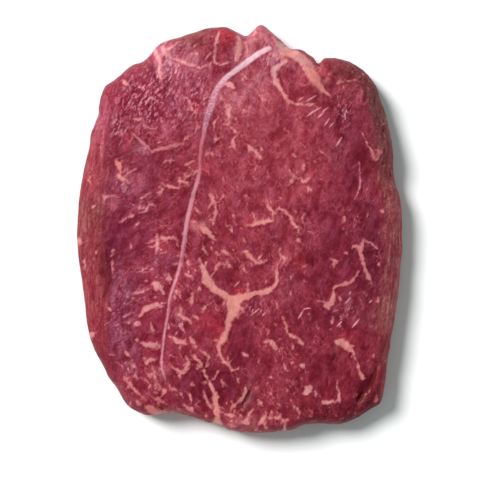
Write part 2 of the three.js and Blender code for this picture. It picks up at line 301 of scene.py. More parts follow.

# Faint creases and folds darkened with painted shade, in photograph pixels: the width, then x and y along
# the run
CREASES = [
    (2.4, 112, 276, 108, 287, 104, 298), (1.2, 119, 262, 117, 280, 115, 292),
    (1.1, 118, 293, 117, 310, 117, 326), (1.1, 123, 300, 122, 320, 124, 338),
    (1.1, 129, 310, 127, 330, 131, 345), (1.1, 110, 312, 109, 328, 110, 345),
    (1.1, 113, 330, 116, 350, 122, 366), (1.1, 120, 340, 124, 354, 130, 366),
    (2.2, 151, 58, 154, 68, 156, 80, 164, 88, 172, 97, 177, 112), (1.4, 106, 92, 110, 100, 112, 110),
    (1.8, 107, 147, 110, 152, 115, 158), (1.2, 94, 145, 103, 145), (3.4, 193, 45, 199, 40, 205, 35),
    (2.2, 253, 382, 249, 393, 242, 405), (1.6, 246, 36, 244, 43), (1.3, 337, 104, 338, 116, 336, 128),
    (1.1, 386, 250, 388, 275, 384, 300), (1.4, 330, 405, 345, 410, 352, 407), (1.2, 366, 320, 372, 338),
    (1.2, 296, 372, 290, 380), (1.6, 279, 72, 282, 83, 290, 98), (1.4, 248, 228, 258, 228, 266, 226),
    (1.3, 236, 313, 250, 309, 260, 303), (1.2, 89, 262, 92, 290, 96, 318),
    (1.4, 207, 226, 212, 231, 216, 236), (2, 119, 117, 126, 127, 134, 137, 143, 145),
    (1.4, 134, 141, 146, 151), (1.3, 186, 236, 183, 256, 180, 268), (1.2, 174, 288, 170, 304, 168, 322),
    (1.5, 272, 33, 279, 40, 287, 46),
]

# Wet threads, raised a little and painted with a highlight where they catch the light, in photograph
# pixels: the width, then x and y along the run
GLINTS = [
    (1.6, 342, 137, 335.5, 147), (1.2, 321.5, 107, 311, 113), (1.2, 324, 113, 317, 118),
    (1.1, 317, 95, 305, 102), (1, 344.5, 114, 345.5, 120), (1, 346.5, 109, 346, 113),
    (1.1, 303, 309, 311, 308), (1.2, 303, 311, 298, 319), (1.5, 359.5, 319, 352, 327.7),
    (1.3, 342, 321, 337, 326.6), (1, 351, 297, 345, 304), (1, 351, 291, 349, 295), (1, 330, 118, 324, 126),
    (1, 372, 300, 369, 303), (0.9, 329, 107, 322, 112), (0.9, 315, 103, 308, 107),
    (0.9, 313, 112, 306, 117), (0.9, 334, 122, 329, 128), (0.9, 304, 97, 297, 101), (1, 262, 254, 258, 260),
    (1, 260, 308, 250, 316), (1, 266, 312, 262, 316), (1, 240, 281, 234, 287), (0.9, 160, 70, 156, 80),
    (0.9, 172, 74, 168, 82), (0.9, 150, 96, 146, 104), (0.9, 128, 126, 124, 134),
]

# Lobes of grey lilac membrane in photograph pixels: the width, then x and y along the run
SHEENS = [
    (4, 117, 328, 113, 340, 112, 354), (5, 121, 328, 121, 342, 119, 358), (6, 131, 360, 134, 368, 135, 376),
    (4, 117, 283, 114, 295, 112, 306), (5, 124, 279, 127, 289, 126, 301),
    (3.5, 136, 341, 134, 350, 131, 355), (7, 167, 63, 166, 70, 164, 78), (9, 134, 142, 141, 149, 148, 155),
    (8, 120, 186, 127, 190, 134, 192), (8, 272, 58, 275, 64, 272, 70), (5, 344, 108, 345, 116, 342, 124),
    (5, 104, 198, 112, 197, 118, 200), (6, 96, 118, 97, 128, 95, 138), (4, 352, 300, 346, 308),
]

# Headings of the muscle fibres in degrees above +X
GRAIN = {"left": 20, "right": 118, "far right": 66, "lower left": -50}

# Colours as they show in the photograph, in sRGB bytes
LEAN = (150, 54, 69)
FAT = (222, 140, 138)
FAT_PINK = (212, 106, 118)
GRISTLE_WHITE = (250, 202, 214)
SHEEN = (172, 98, 120)
# Painted highlights: lilac on the crinkle ridges and specks, and the glint of wet threads
LILAC_HIGHLIGHT = (222, 138, 156)
GLINT = (252, 176, 190)
SIDE = (148, 62, 72)
# Painted shade in the splits
SPLIT_SHADE = (88, 5, 22)
VIVID = (188, 42, 56)

# Colours of the gristle below its white end: where each sets in, in photograph pixels down, and sRGB bytes
GRISTLE_STRETCHES = [
    ((70, 96), (220, 152, 168)), ((120, 145), (198, 104, 116)), ((162, 184), (230, 150, 164)),
]

# Factors that change a colour: of the lean, of its grain and the side's streaks, and of the fat,
# and the painted shade in the lean's grooves, in creases and beside the seams
PURPLE = (0.97, 1.03, 1.08, 1.0)
CRIMSON = (1.03, 0.94, 0.95, 1.0)
MOTTLE_DARK = (0.7, 0.42, 0.52, 1.0)
MOTTLE_LIGHT = (1.17, 1.5, 1.4, 1.0)
GROOVE_SHADE = (0.6, 0.17, 0.32, 1.0)
DARKER = (0.7, 0.38, 0.48, 1.0)
LIGHTER = (1.3, 1.95, 1.72, 1.0)
FAT_DARKER = (0.84, 0.72, 0.72, 1.0)
FAT_LIGHTER = (1.1, 1.24, 1.2, 1.0)
FAT_CORE = (1.04, 1.16, 1.02, 1.0)
LEE_SHADE = (0.6, 0.3, 0.4, 1.0)

# Tones of the lean, in photograph pixels and sRGB bytes: x, y, reach across and down, colour
TONES = [
    (280, 125, 50, 50, (172, 70, 84)), (285, 195, 50, 40, (168, 66, 80)), (152, 96, 40, 34, (172, 70, 92)),
    (158, 52, 9, 9, (222, 132, 144)), (126, 226, 10, 10, (134, 48, 72)), (126, 99, 14, 12, (128, 16, 44)),
    (150, 106, 15, 14, (146, 34, 60)), (140, 84, 9, 8, (176, 52, 84)), (230, 70, 40, 30, (162, 62, 78)),
    (128, 215, 26, 60, (138, 50, 72)), (122, 320, 14, 40, (136, 60, 84)), (165, 330, 24, 60, (154, 52, 72)),
    (325, 250, 36, 56, (128, 45, 61)), (351, 154, 17, 46, (110, 36, 54)), (370, 258, 14, 46, (104, 44, 60)),
    (382, 315, 12, 16, (150, 78, 80)), (335, 370, 42, 36, (130, 42, 56)), (330, 414, 42, 10, (104, 34, 44)),
    (205, 388, 30, 20, (98, 24, 44)), (255, 412, 42, 18, (150, 54, 66)), (352, 74, 22, 14, (126, 60, 64)),
    (290, 320, 40, 40, (144, 50, 66)), (380, 130, 9, 36, (142, 72, 74)), (262, 33, 14, 12, (232, 140, 152)),
    (292, 82, 10, 12, (166, 68, 82)), (388, 180, 8, 8, (176, 86, 78)), (216, 326, 10, 12, (168, 46, 62)),
    (238, 346, 9, 18, (112, 32, 50)), (285, 50, 10, 5, (196, 130, 142)), (110, 252, 5, 24, (96, 28, 48)),
    (192, 84, 26, 14, (184, 90, 110)), (192, 36, 16, 7, (150, 88, 86)), (233, 99, 15, 12, (216, 122, 134)),
    (265, 73, 9, 10, (234, 140, 154)), (250, 96, 12, 7, (212, 114, 130)), (241, 50, 8, 14, (236, 154, 164)),
    # Painted shade: the two darkest tones, at (246, 403) and (364, 394), darken the splits
    (288, 264, 14, 16, (184, 80, 94)), (246, 403, 7, 8, (74, 14, 28)), (245, 385, 6, 6, (180, 84, 94)),
    (364, 394, 8, 10, (60, 8, 18)), (246, 423, 16, 7, (200, 112, 120)), (108, 201, 5, 8, (196, 106, 120)),
    (345, 268, 14, 12, (126, 40, 60)), (330, 226, 14, 12, (130, 42, 64)), (278, 58, 7, 6, (230, 144, 154)),
    (298, 67, 6, 6, (206, 104, 116)), (333, 112, 7, 12, (104, 22, 38)), (307, 120, 10, 7, (188, 92, 104)),
    (213, 138, 6, 9, (118, 28, 46)), (134, 183, 11, 7, (196, 102, 122)), (232, 229, 8, 8, (124, 28, 46)),
    (132, 281, 9, 11, (178, 84, 108)), (180, 327, 7, 9, (112, 30, 50)), (198, 366, 7, 8, (110, 28, 46)),
    (160, 373, 7, 7, (196, 108, 116)), (335, 318, 14, 11, (100, 28, 50)), (340, 349, 6, 8, (190, 96, 104)),
    (374, 118, 7, 28, (112, 38, 52)), (198, 228, 5, 5, (206, 116, 120)), (180, 61, 17, 9, (240, 150, 166)),
    (194, 52, 7, 6, (160, 62, 78)), (328, 82, 5, 7, (112, 28, 42)), (180, 328, 6, 8, (110, 28, 50)),
    (168, 100, 9, 9, (194, 100, 124)), (159, 400, 8, 7, (118, 30, 46)), (317, 77, 7, 9, (224, 128, 134)),
    (228, 104, 5, 9, (236, 144, 150)), (254, 85, 10, 7, (216, 120, 134)), (337, 151, 7, 9, (172, 84, 98)),
    (162, 262, 10, 8, (176, 86, 112)), (204, 264, 7, 8, (124, 40, 56)), (284, 293, 9, 9, (182, 90, 104)),
    (213, 338, 7, 7, (196, 94, 106)), (180, 314, 5, 7, (200, 114, 126)),
]

# Tones of the fat, as the lean's
FAT_TONES = [
    (180, 66, 60, 40, (244, 162, 173)), (290, 58, 24, 16, (228, 156, 162)),
    (311, 76, 7, 10, (230, 134, 132)), (140, 141, 12, 12, (212, 134, 150)),
    (279, 44, 8, 6, (192, 146, 156)), (287, 56, 8, 3, (236, 132, 112)), (275, 73, 5, 8, (222, 168, 184)),
    (119, 165, 5, 8, (228, 122, 114)), (150, 262, 36, 70, (226, 144, 152)),
    (156, 408, 20, 8, (202, 112, 112)), (356, 270, 30, 44, (206, 124, 128)),
    (318, 388, 30, 26, (220, 148, 154)),
]

# Tones of the outer side, as the lean's
SIDE_TONES = [
    (93, 150, 16, 44, (163, 72, 82)), (94, 246, 14, 32, (142, 60, 66)), (89, 215, 9, 14, (152, 86, 84)),
    (92, 288, 8, 20, (166, 78, 84)), (108, 240, 4, 20, (120, 40, 60)), (108, 201, 5, 8, (190, 104, 116)),
    # Painted shade: the darkest tone, at (366, 394), darkens the lower right split
    (366, 394, 8, 10, (70, 14, 24)), (246, 424, 14, 6, (196, 108, 116)), (100, 316, 16, 36, (148, 58, 68)),
    (102, 116, 8, 22, (192, 96, 120)), (112, 95, 9, 9, (166, 44, 70)), (328, 65, 8, 7, (196, 98, 106)),
    (346, 64, 8, 5, (188, 114, 116)), (317, 75, 6, 8, (224, 128, 134)), (181, 409, 9, 6, (204, 116, 120)),
    (128, 386, 20, 18, (138, 50, 62)), (190, 42, 44, 12, (168, 82, 94)), (380, 126, 18, 56, (128, 76, 78)),
    # Painted light: the two tones on the right rim here are set lighter against its shade
    (392, 240, 12, 46, (162, 86, 90)), (385, 313, 9, 13, (176, 104, 102)),
    (382, 350, 16, 26, (148, 66, 74)), (336, 418, 44, 16, (112, 48, 56)), (226, 426, 50, 12, (150, 62, 72)),
    (352, 70, 22, 10, (126, 64, 68)), (376, 108, 10, 26, (112, 64, 64)), (382, 162, 10, 16, (142, 66, 74)),
    (175, 51, 10, 8, (255, 196, 210)), (105, 104, 6, 12, (212, 122, 140)),
]

# Zones with few flecks, in photograph pixels: x, y, reach across and down
BARE_ZONES = [
    (202, 386, 26, 16), (350, 150, 20, 44), (338, 262, 24, 24), (300, 130, 34, 24), (126, 228, 18, 14),
    (150, 95, 34, 36), (240, 340, 12, 22), (205, 335, 12, 16), (150, 320, 14, 12), (330, 370, 20, 20),
]

# Blood-red patches in photograph pixels: x, y, reach and strength
VIVID_SPOTS = [
    (228, 35, 9, 0.9), (324, 73, 7, 0.45), (196, 105, 4, 0.7), (217, 336, 8, 0.4), (345, 340, 9, 0.35),
    (239, 292, 6, 0.5), (300, 262, 7, 0.35), (302, 60, 6, 0.4), (98, 326, 4, 0.4), (168, 42, 5, 0.3),
    (250, 222, 7, 0.3), (160, 242, 7, 0.3), (205, 170, 7, 0.3), (116, 100, 7, 0.35), (128, 136, 7, 0.4),
]

# Zones of crinkled lilac sheen in photograph pixels: x, y, reach across and down, strength
CRINKLES = [
    (152, 96, 36, 36, 0.9), (172, 70, 22, 14, 1.0), (118, 128, 8, 13, 1.0), (124, 184, 12, 8, 0.6),
    (122, 290, 9, 14, 0.4), (272, 62, 10, 8, 1.0), (344, 112, 9, 16, 0.6), (256, 308, 12, 6, 0.7),
    (196, 92, 12, 26, 0.7), (350, 310, 10, 12, 0.3), (218, 305, 8, 10, 0.4),
]

# Box of the slice in photograph pixels, across and down
SLICE_ACROSS, SLICE_DOWN = (84, 396), (34, 426)

# Where the fibres turn to another heading, in photograph pixels across or down
FAR_RIGHT_ACROSS, LOWER_LEFT_DOWN = (312, 350), (335, 385)

# Where the flecks grow more or fewer, in photograph pixels across or down, and how far beside the gristle
FLECKS_BY_GRISTLE, FLECKS_BY_GRISTLE_DOWN = 42, (170, 230)
LOW_FLECKS_DOWN, LOW_FLECKS_ACROSS = (280, 340), (285, 330)
LEFT_FLECKS_ACROSS, RIGHT_FLECKS_ACROSS = (98, 118), (350, 370)

# Where the membrane of the left side grows broad and narrow again, in photograph pixels down
BROAD_MEMBRANE, NARROW_MEMBRANE = (120, 190), (315, 350)

# Where the gristle's wrinkles set in and fade, in photograph pixels down
WRINKLES_SET_IN, WRINKLES_FADE = (60, 100), (190, 120)

# Below this height in millimetres the marks drift across and down, in pixels to a millimetre
DRIFT_HEIGHT, DRIFT = 13, (0.7, -0.5)

# Large and small flecks: how many are tried, the length that few exceed and the greatest width,
# in photograph pixels
LARGE_FLECKS = (520, 14, 2.6)
SMALL_FLECKS = (2800, 7, 1.4)

# Gap between the twigs that fray the seams, and how far the shade behind the seams lies from them across
# and down, in photograph pixels
TWIG_GAP = 11
LEE_SHIFT = (1.3, 1.1)

# How far the lines of a net sway, in shares of its mesh
NET_SWAY = 0.9

# Marks that the material reads as numbers, and as colours
NUMBER_MARKS = (
    "fat", "lee", "fleck", "gristle", "split", "crease", "glint", "sheen", "side", "crinkle", "calm",
)
COLOUR_MARKS = ("tone", "fat_tone", "side_tone")

# Broad light from the upper left: its direction, energy and spread in degrees, and the pale sky
SUN_TRAVEL = (0.77, -0.56, -1.0)
SUN_ENERGY = 4.2
SUN_SPREAD = 21
SKY_COLOUR = (0.91, 1.035, 1.01, 1.0)
SKY_STRENGTH = 0.36

# How far the rim that turns away from the light is lifted
SHADE_LIFT = 0.55

# How much brighter than its surface colour the lit meat shows, and what its gloss adds
LIGHT_GAIN = 1.27
GLOSS = 0.01

# Floor: half its width in metres, and its colour
FLOOR_HALF = 3.0
FLOOR_COLOUR = (0.84, 0.84, 0.84, 1.0)

# Start of every random draw
SEED = 11


def linear(colour):
    """Scene-linear value of an sRGB colour in bytes."""
    share = np.asarray(colour, float) / 255
    return np.where(share <= 0.04045, share / 12.92, ((share + 0.055) / 1.055) ** 2.4)


def surface(light):
    """Surface colour that shows as the given scene-linear colour under the scene's light."""
    return np.clip((light - GLOSS) / LIGHT_GAIN, 0.002, 1)


def ease(value, start, end):
    """Smooth step from 0 at start to 1 at end."""
    share = np.clip((value - start) / (end - start), 0, 1)
    return share * share * (3 - 2 * share)


def bell(distance, reach):
    return np.exp(-((distance / reach) ** 2))


def noise(x, y, seed):
    """Smooth noise of about -1 to 1 that changes over one unit."""
    tile = 256
    angles = np.random.default_rng(seed).uniform(0, 2 * math.pi, (tile, tile))
    column, row = np.floor(x).astype(int), np.floor(y).astype(int)
    right, up = x - column, y - row
    total = np.zeros_like(right)
    for step_x in (0, 1):
        for step_y in (0, 1):
            angle = angles[(row + step_y) % tile, (column + step_x) % tile]
            slope = np.cos(angle) * (right - step_x) + np.sin(angle) * (up - step_y)
            share_x = ease(right, 0, 1) if step_x else 1 - ease(right, 0, 1)
            share_y = ease(up, 0, 1) if step_y else 1 - ease(up, 0, 1)
            total += slope * share_x * share_y
    return 1.5 * total


def waves(x, y, size, height, seed):
    """Noise of a size and height."""
    return height * noise(x / size, y / size, seed)


def streaks(x, y, heading, length, width, seed):
    """Noise drawn out along a heading."""
    angle = math.radians(heading)
    along = x * math.cos(angle) + y * math.sin(angle)
    across = y * math.cos(angle) - x * math.sin(angle)
    return noise(along / length, across / width, seed)


def smooth_loop(points, samples=40):
    """Closed curve through the points, with tangents weighed by the gaps between them."""
    here = np.array(points, float)
    before, after, beyond = np.roll(here, 1, 0), np.roll(here, -1, 0), np.roll(here, -2, 0)
    gaps = [np.linalg.norm(b - a, axis=1, keepdims=True) ** 0.5
            for a, b in ((before, here), (here, after), (after, beyond))]
    leave = (here - before) / gaps[0] - (after - before) / (gaps[0] + gaps[1]) + (after - here) / gaps[1]
    arrive = (after - here) / gaps[1] - (beyond - here) / (gaps[1] + gaps[2]) + (beyond - after) / gaps[2]
    leave, arrive = leave * gaps[1], arrive * gaps[1]
    t = np.linspace(0, 1, samples, endpoint=False).reshape(1, -1, 1)
    curve = (
        (2 * t**3 - 3 * t**2 + 1) * here[:, None] + (t**3 - 2 * t**2 + t) * leave[:, None]
        + (3 * t**2 - 2 * t**3) * after[:, None] + (t**3 - t**2) * arrive[:, None]
    )
    return curve.reshape(-1, 2)


def fitted_outline():
    """Outline stretched to the slice's length and width, with how far round each point is."""
    loop = smooth_loop(OUTLINE)
    low, high = loop.min(0), loop.max(0)
    loop = (loop - (low + high) / 2) * np.array([WIDTH, LENGTH]) / (high - low)
    closed = np.vstack([loop, loop[:1]])
    run = np.concatenate([[0], np.cumsum(np.linalg.norm(np.diff(closed, axis=0), axis=1))])
    return closed, run / run[-1]


RIM, RIM_TURN = fitted_outline()


def rim_point(turn):
    """x and y on the outline at a share of the way round."""
    turn = np.asarray(turn, float) % 1
    return np.interp(turn, RIM_TURN, RIM[:, 0]), np.interp(turn, RIM_TURN, RIM[:, 1])


def shoulder_width(x, y):
    """Width of the rounded shoulder where the outline lies in the direction of the point."""
    share = ease(np.abs(x) / np.hypot(x, y), 0.3, 0.95)
    side = np.where(x < 0, SHOULDER["left"], SHOULDER["right"])
    return SHOULDER["ends"] + (side - SHOULDER["ends"]) * share


def run_distance(x, y, run, half_widths=None):
    """Distance from points to a run of straight stretches, less its half width there."""
    nearest = np.full(x.shape, 1e9)
    if half_widths is None:
        half_widths = [0] * len(run)
    for i in range(1, len(run)):
        (ax, ay), (bx, by) = run[i - 1], run[i]
        dx, dy = bx - ax, by - ay
        along = np.clip(((x - ax) * dx + (y - ay) * dy) / max(dx * dx + dy * dy, 1e-9), 0, 1)
        half = half_widths[i - 1] + (half_widths[i] - half_widths[i - 1]) * along
        nearest = np.minimum(nearest, np.hypot(x - ax - along * dx, y - ay - along * dy) - half)
    return nearest


def crown_height(x, y):
    """Height of the cut face, before its edge is rounded."""
    height = np.full(x.shape, CROWN)
    for swell_x, swell_y, reach, rise in SWELLS:
        height += rise * bell(np.hypot(x - swell_x, y - swell_y), reach)
    for heading, wavelength, rise, phase in RIPPLES:
        angle = math.radians(heading)
        along = x * math.cos(angle) + y * math.sin(angle)
        height += rise * np.sin(2 * math.pi * along / wavelength + phase)
    for run, depth, reach in FURROWS:
        height -= depth * bell(run_distance(x, y, run), reach)
    return height


def face_point(turn, share):
    """Points of the cut face at a share of the way from the middle to the outline."""
    edge_x, edge_y = rim_point(turn)
    x, y = edge_x * share, edge_y * share
    inward = np.minimum((1 - share) * np.hypot(edge_x, edge_y) / shoulder_width(edge_x, edge_y), 1)
    rise = np.sqrt(1 - (1 - inward) ** 2)
    return np.stack([x, y, EDGE_HEIGHT + (crown_height(x, y) - EDGE_HEIGHT) * rise], -1)


def side_point(turn, angle):
    """Points of the rounded side: above 0 degrees on the shoulder, below it tucked under."""
    edge_x, edge_y = rim_point(turn)
    reach = shoulder_width(edge_x, edge_y) if angle > 0 else FOOT_INSET
    share = 1 - reach * (1 - math.cos(math.radians(angle))) / np.hypot(edge_x, edge_y)
    if angle > 0:
        return face_point(turn, share)
    height = np.full(turn.shape, EDGE_HEIGHT * (1 + math.sin(math.radians(angle))))
    return np.stack([edge_x * share, edge_y * share, height], -1)


def square_grid(cells):
    """Column and row of each corner of a square grid, counted from its middle."""
    half = cells // 2
    rows, columns = np.mgrid[-half:half + 1, -half:half + 1]
    return columns.ravel(), rows.ravel()


def rings_of_grid(cells):
    """Share of the way out to each corner's ring, and how far round the ring the corner is."""
    columns, rows = square_grid(cells)
    ring = np.maximum(np.abs(rows), np.abs(columns))
    step = np.select(
        [columns == ring, rows == ring, columns == -ring],
        [rows + ring, 3 * ring - columns, 5 * ring - rows],
        7 * ring + columns,
    )
    return ring / (cells // 2), step / (8 * np.maximum(ring, 1))


def border_indices(cells):
    """Grid corners round the border, from the lower right corner counter-clockwise."""
    steps = np.arange(cells)
    side = cells + 1
    return np.concatenate([
        steps * side + cells, cells * side + cells - steps, (cells - steps) * side, steps,
    ])


def square_spot(turn):
    """Spot on the border of a square from -1 to 1 at a share of the way round."""
    quarter = np.floor(turn * 4).astype(int) % 4
    along = (turn * 4) % 1 * 2 - 1
    one = np.ones_like(along)
    x = np.select([quarter == 0, quarter == 1, quarter == 2], [one, -along, -one], along)
    y = np.select([quarter == 0, quarter == 1, quarter == 2], [along, one, -along], -one)
    return np.stack([x, y], -1)


class Shell:
    """Corners, faces and unwrapped places of the closed mesh as it grows."""

    # Places on the unwrapped sheet: the middle and half width of the two faces, how far the seam round
    # the underside reaches out, and the side's strips
    TOP = (0.345, 0.335)
    UNDER = (0.845, 0.145)
    SEAM_REACH = 1.02
    STRIP_LOW, STRIP_STEP, STRIP_HEIGHT = 0.705, 0.072, 0.066

    def __init__(self):
        self.corners = np.zeros((0, 3))
        self.faces = []
        self.places = []

    def add_corners(self, corners):
        first = len(self.corners)
        self.corners = np.vstack([self.corners, corners])
        return first + np.arange(len(corners))

    def add_faces(self, faces, places):
        self.faces += faces.tolist()
        self.places.append(places.reshape(-1, 2))

    def add_sheet(self, cells, corners, middle, half, downward):
        """Square grid of faces, turned up or down, whose border corners it returns."""
        indices = self.add_corners(corners)
        spots = np.stack(square_grid(cells), -1) / (cells // 2) * half
        spots += (middle, 1 - middle if downward else middle)
        first = (np.arange(cells)[:, None] * (cells + 1) + np.arange(cells)).ravel()
        quads = np.stack([first, first + 1, first + cells + 2, first + cells + 1], -1)
        if downward:
            quads = quads[:, ::-1]
        self.add_faces(indices[quads], spots[quads])
        return indices[border_indices(cells)]

    def add_band(self, upper, lower, level, levels):
        """Ring of faces between two rings of corners, on four strips of the sheet."""
        count = len(upper)
        step = np.arange(count)
        following = (step + 1) % count
        quads = np.stack([upper, lower, lower[following], upper[following]], -1)
        strip, along = step * 4 // count, step % (count // 4)
        left = self.TOP[0] - self.TOP[1] + 2 * self.TOP[1] * along * 4 / count
        right = left + 2 * self.TOP[1] * 4 / count
        low = self.STRIP_LOW + self.STRIP_STEP * strip
        top = low + self.STRIP_HEIGHT * (1 - level / levels)
        base = low + self.STRIP_HEIGHT * (1 - (level + 1) / levels)
        places = np.stack([
            np.stack([left, top], -1), np.stack([left, base], -1),
            np.stack([right, base], -1), np.stack([right, top], -1),
        ], 1)
        self.add_faces(quads, places)

    def add_seam(self, ring, border):
        """Five-sided faces between a ring and a border with half as many corners."""
        count = len(border)
        step = np.arange(count)
        following = (step + 1) % count
        outer = (2 * step + 2) % len(ring)
        faces = np.stack([ring[2 * step], border, border[following], ring[outer], ring[2 * step + 1]], -1)
        middle = np.array([self.UNDER[0], 1 - self.UNDER[0]])
        inside = self.UNDER[1] * square_spot(step / count)
        outside = self.SEAM_REACH * self.UNDER[1] * square_spot(np.arange(len(ring)) / len(ring))
        spots = np.stack([
            outside[2 * step], inside, inside[following], outside[outer], outside[2 * step + 1],
        ], 1)
        self.add_faces(faces, spots + middle)


def build_shell():
    """The smooth slice: its cut face, side and flat underside, in millimetres."""
    shell = Shell()
    ring, turn = rings_of_grid(CELLS)
    edge_x, edge_y = rim_point(turn)
    inset = shoulder_width(edge_x, edge_y) * (1 - math.cos(math.radians(BRIM_ANGLE)))
    face = face_point(turn, ring * (1 - inset / np.hypot(edge_x, edge_y)))
    upper = shell.add_sheet(CELLS, face, *Shell.TOP, downward=False)

    around = np.arange(4 * CELLS) / (4 * CELLS)
    for level, angle in enumerate(SIDE_ANGLES):
        lower = shell.add_corners(side_point(around, angle))
        shell.add_band(upper, lower, level, len(SIDE_ANGLES))
        upper = lower

    ring, turn = rings_of_grid(UNDER_CELLS)
    edge_x, edge_y = rim_point(turn)
    share = ring * (1 - (FOOT_INSET + UNDER_INSET) / np.hypot(edge_x, edge_y))
    under = np.stack([edge_x * share, edge_y * share, np.zeros_like(share)], -1)
    border = shell.add_sheet(UNDER_CELLS, under, *Shell.UNDER, downward=True)
    shell.add_seam(upper, border)
    return shell


def photo_pixels(corners):
    """Where the camera sees each corner, in the photograph's pixels."""
    size = PIXEL * (CAMERA_HEIGHT - corners[:, 2]) / (CAMERA_HEIGHT - EDGE_HEIGHT)
    return MIDDLE_PIXEL + (corners[:, 0] - AIM[0]) / size, MIDDLE_PIXEL - (corners[:, 1] - AIM[1]) / size


def with_nudges(corners):
    """Corners pushed out or in where the rim has its small corners and dents."""
    px, py = photo_pixels(corners)
    push = sum(rise * bell(np.hypot(px - x, py - y), reach) for x, y, reach, rise in RIM_NUDGES)
    spread = np.maximum(np.hypot(corners[:, 0], corners[:, 1]), 1e-3)
    nudged = corners.copy()
    nudged[:, :2] *= (1 + push / spread)[:, None]
    return nudged


def smooth_run(run, samples=4):
    """Open curve of x, y and width through the points of a run."""
    run = np.array(run, float)
    if len(run) < 3:
        return run
    padded = np.vstack([2 * run[0] - run[1], run, 2 * run[-1] - run[-2]])
    t = np.linspace(0, 1, samples, endpoint=False)[:, None]
    pieces = []
    for a, b, c, d in zip(padded[:-3], padded[1:-2], padded[2:-1], padded[3:]):
        pieces.append(0.5 * (2 * b + (c - a) * t + (2 * a - 5 * b + 4 * c - d) * t**2
                             + (3 * b - a - 3 * c + d) * t**3))
    return np.vstack(pieces + [run[-1:]])


def tapered(width, *places, ends=0.2):
    """Run of x, y and width that thins towards its two ends."""
    spots = np.array(places, float).reshape(-1, 2)
    if len(spots) == 2:
        spots = np.array([spots[0], spots.mean(0), spots[1]])
    widths = np.full(len(spots), float(width))
    widths[[0, -1]] *= ends
    return np.column_stack([spots, widths])


def field_of(runs, px, py, reach=9.0, blend=0.7):
    """Distance in pixels outside the nearest of many runs, negative inside, with soft joins."""
    total = np.full(px.shape, math.exp(-reach / blend))
    for run in runs:
        run = smooth_run(run)
        low, high = run[:, :2].min(0) - reach, run[:, :2].max(0) + reach
        near = np.flatnonzero((px > low[0]) & (px < high[0]) & (py > low[1]) & (py < high[1]))
        distance = run_distance(px[near], py[near], run[:, :2], run[:, 2] / 2)
        total[near] += np.exp(-np.clip(distance, -8, reach) / blend)
    return -blend * np.log(total)


def gristle_side(px, py):
    """How far left of the gristle a spot is, in pixels."""
    line = np.array(GRISTLE)
    return np.interp(py, line[:, 1], line[:, 0]) - px


def grain_shares(px, py):
    """Share of each heading of the fibres at each spot."""
    left = ease(gristle_side(px, py), -6, 8)
    far_right = ease(px, *FAR_RIGHT_ACROSS) * (1 - left)
    low_left = left * ease(py, *LOWER_LEFT_DOWN) * ease(gristle_side(px, py), 0, 26)
    return {
        "left": left - low_left,
        "right": 1 - left - far_right,
        "far right": far_right,
        "lower left": low_left,
    }


def grain_heading(px, py):
    """Heading of the fibres at each spot, in radians."""
    shares = grain_shares(px, py)
    east = sum(share * math.cos(math.radians(GRAIN[zone])) for zone, share in shares.items())
    north = sum(share * math.sin(math.radians(GRAIN[zone])) for zone, share in shares.items())
    return np.arctan2(north, east)


def fleck_runs(rng, count, long, widest):
    """Flecks of fat strewn over the cut face, mostly along the fibres."""
    px = rng.uniform(*SLICE_ACROSS, count)
    py = rng.uniform(*SLICE_DOWN, count)
    clumps = waves(px, py, 34, 1, SEED + 1) + waves(px, py, 13, 0.7, SEED + 2)
    by_gristle = bell(gristle_side(px, py), FLECKS_BY_GRISTLE) * ease(py, *FLECKS_BY_GRISTLE_DOWN)
    low = ease(py, *LOW_FLECKS_DOWN) * (1 - ease(px, *LOW_FLECKS_ACROSS))
    wanted = 0.16 + 0.34 * clumps + 0.3 * by_gristle + 0.24 * low
    wanted -= 0.6 * (1 - ease(px, *LEFT_FLECKS_ACROSS)) + 0.2 * ease(px, *RIGHT_FLECKS_ACROSS)
    for x, y, across, down in BARE_ZONES:
        wanted -= zone_share(px, py, x, y, across, down)
    kept = rng.uniform(0, 1, count) < wanted
    heading = grain_heading(px, py) + rng.normal(0, 0.4, count)
    length = rng.gamma(2.0, long / 5, count) + long / 6
    width = rng.uniform(0.4, 1, count) * widest
    bend = rng.normal(0, 0.35, (count, 2))
    runs = []
    for i in np.flatnonzero(kept):
        step = np.array([math.cos(heading[i]), -math.sin(heading[i])]) * length[i] / 2
        side = np.array([-step[1], step[0]])
        middle = np.array([px[i], py[i]])
        runs.append(tapered(
            width[i], *(middle - step), *(middle - step / 3 + side * bend[i, 0]),
            *(middle + step / 3 + side * bend[i, 1]), *(middle + step), ends=0.3,
        ))
    return runs


def twigs(rng, seams):
    """Short pointed side branches that fray the seams, about one to each gap along them."""
    grown = []
    for seam in seams:
        run = smooth_run(seam)
        steps = np.diff(run[:, :2], axis=0)
        length = np.linalg.norm(steps, axis=1).sum()
        for _ in range(rng.poisson(length / TWIG_GAP)):
            i = rng.integers(len(steps))
            turn = rng.choice([-1, 1]) * rng.uniform(0.5, 1.4)
            heading = math.atan2(steps[i, 1], steps[i, 0]) + turn
            reach = run[i, 2] / 2 + rng.gamma(2.0, 1.5)
            tip = run[i, :2] + reach * np.array([math.cos(heading), math.sin(heading)])
            width = min(run[i, 2], 2.4)
            grown.append([(*run[i, :2], width), (*((run[i, :2] + tip) / 2), 0.6 * width), (*tip, 0.3)])
    return grown


